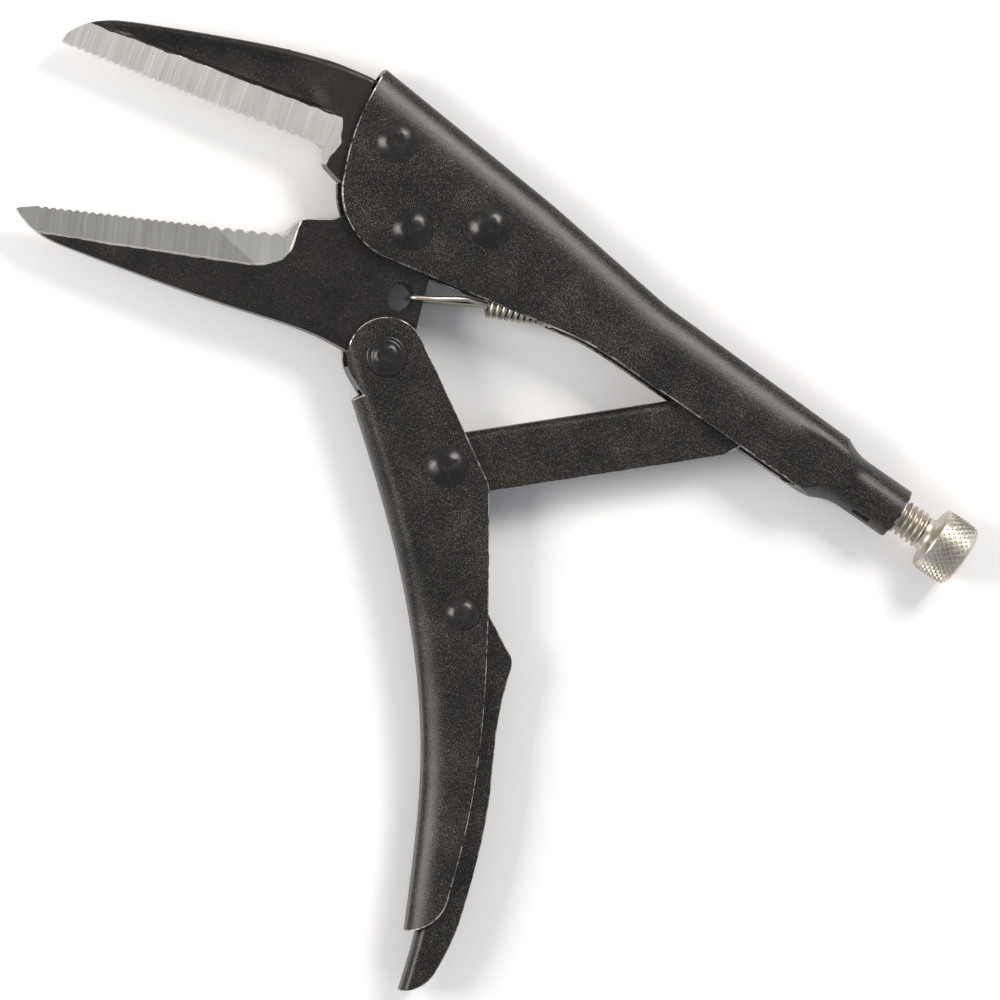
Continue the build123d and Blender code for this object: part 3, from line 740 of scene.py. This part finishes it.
# ------------------------------------------------------------------ adjusting knob
# A nickel-plated knob, turned from bar, with a diamond knurl rolled round it. Its faces are plain
# and its end is dished.
KNOB_RADIUS = 7.5
KNURL = 30
KNURL_ROWS = 9
KNURL_DEPTH = 0.095
knurl_start, knurl_end = 132.75, 139.95
bpy.ops.object.select_all(action="DESELECT")
bpy.ops.mesh.primitive_cylinder_add(
    vertices=2 * KNURL, radius=KNOB_RADIUS * MM, depth=(knurl_end - knurl_start) * MM,
    end_fill_type="NOTHING", rotation=(0, radians(90), 0),
    location=SCREW_LINE + Vector(((knurl_start + knurl_end) / 2 * MM, 0, 0)))
knob = bpy.context.object
bpy.ops.object.transform_apply(location=True, rotation=True, scale=True)
bpy.ops.object.mode_set(mode="EDIT")
row = (knurl_end - knurl_start) / KNURL_ROWS
for i in range(1, KNURL_ROWS):
    bpy.ops.mesh.select_all(action="SELECT")
    bpy.ops.mesh.bisect(plane_co=((knurl_start + i * row) * MM, 0, 0), plane_no=(1, 0, 0))
bpy.ops.object.mode_set(mode="OBJECT")
for point in knob.data.vertices:
    arm = point.co - SCREW_LINE
    column = round(atan2(arm.z, arm.y) / pi * KNURL)
    ring = round((point.co.x / MM - knurl_start) / row)
    deep = (column + ring) % 2 == 1
    bow = 1 - 0.045 * abs(2 * ring / KNURL_ROWS - 1) ** 3 - (KNURL_DEPTH if deep else 0)
    point.co.y, point.co.z = (SCREW_LINE.y + arm.y * bow, SCREW_LINE.z + arm.z * bow)
bpy.ops.object.mode_set(mode="EDIT")
bpy.ops.mesh.select_all(action="SELECT")
bpy.ops.mesh.quads_convert_to_tris(quad_method="SHORTEST_DIAGONAL")
bpy.ops.object.mode_set(mode="OBJECT")
faces = turned("knob_faces", [
    (132.4, 3.1), (132.42, 6.5), (132.55, 6.85), (132.85, 7.05), (139.6, 6.95), (140.1, 6.85),
    (140.45, 6.55), (140.7, 6.1), (140.8, 5.5), (140.75, 4.6), (139.4, 4.2), (139.35, 3.1)])
select_only(knob)
faces.select_set(True)
bpy.ops.object.join()
knurled = nickel.copy()
knurled.name = "nickel_knurled"
knurled_tree = knurled.node_tree
spot = node(knurled_tree, "ShaderNodeTexCoord").outputs["Object"]
from_line = node(knurled_tree, "ShaderNodeVectorMath", {0: spot, 1: SCREW_LINE},
                 operation="SUBTRACT").outputs[0]
from_line = node(knurled_tree, "ShaderNodeVectorMath", {0: from_line, 1: (0, 1, 1)},
                 operation="MULTIPLY").outputs[0]
reach = node(knurled_tree, "ShaderNodeVectorMath", {0: from_line},
             operation="LENGTH").outputs["Value"]
# Painted shade: the knurl's pits, nearer the screw's line, are coloured darker brown than its
# crests.
crest = span(knurled_tree, reach, 6.78 * MM, 7.3 * MM)
knurled_shader = knurled_tree.nodes["Principled BSDF"]
plated = knurled_shader.inputs["Base Color"].links[0].from_socket
knurled_tree.links.new(blend_of(knurled_tree, crest, (0.2, 0.17, 0.13, 1), plated),
                       knurled_shader.inputs["Base Color"])
knob.data.materials.clear()
knob.data.materials.append(nickel)
knob.data.materials.append(knurled)
for face in knob.data.polygons:
    if len(face.vertices) == 3:
        face.material_index = 1
knob.name = "adjusting_knob_knurled"
bpy.ops.object.shade_smooth_by_angle(angle=radians(24))
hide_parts("adjusting_knob")
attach(knob, "adjusting_knob")

# ------------------------------------------------------------------ jaw spring
# A tension spring of bright drawn wire. Its front end is a long loop through the lower jaw's hole,
# and its rear end hooks on a tab lanced out of the upper handle's fold.
COIL_START = Vector((22.9, -4.1, 7.6))
COIL_END = Vector((50.0, 8.7, 7.6))
COIL_RADIUS = 2.2
COIL_TURNS = 22
POINTS_A_TURN = 20
WIRE_RADIUS = 0.55
coil_way = (COIL_END - COIL_START).normalized()
coil_side = Vector((-coil_way.y, coil_way.x, 0))
route = [COIL_START + Vector((0.3, 0.1, -2.2)), Vector((12.5, -10.1, 3.2)),
         Vector((9.6, -11.55, 3.0)),
         Vector((8.6, -12.0, 3.15)), Vector((8.25, -12.2, 3.8)), Vector((8.25, -12.2, 11.4)),
         Vector((8.6, -12.0, 12.05)), Vector((9.6, -11.4, 12.2)), Vector((12.5, -9.7, 12.1)),
         Vector((18.5, -5.6, 11.2))]
for i in range(COIL_TURNS * POINTS_A_TURN + 1):
    turn = 2 * pi * i / POINTS_A_TURN
    along = i / (COIL_TURNS * POINTS_A_TURN) * (COIL_END - COIL_START).length
    route.append(COIL_START + coil_way * along
                 + COIL_RADIUS * (cos(turn) * Vector((0, 0, 1)) + sin(turn) * coil_side))
route += [Vector((52.2, 11.1, 7.9)), Vector((54.6, 12.0, 7.6)), Vector((58.6, 12.0, 7.6))]
wire_line = bpy.data.curves.new("spring_wire", "CURVE")
wire_line.dimensions = "3D"
wire_line.bevel_depth = WIRE_RADIUS * MM
wire_line.bevel_resolution = 4
wire_line.use_fill_caps = True
strand = wire_line.splines.new("POLY")
strand.points.add(len(route) - 1)
for point, at in zip(strand.points, route):
    point.co = (*(at * MM), 1)
spring = bpy.data.objects.new("jaw_spring_wire", wire_line)
bpy.context.scene.collection.objects.link(spring)
select_only(spring)
bpy.ops.object.convert(target="MESH")
spring = bpy.context.object
bpy.ops.object.shade_smooth()
spring.data.materials.clear()
spring.data.materials.append(nickel)
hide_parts("jaw_spring")
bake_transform(spring)
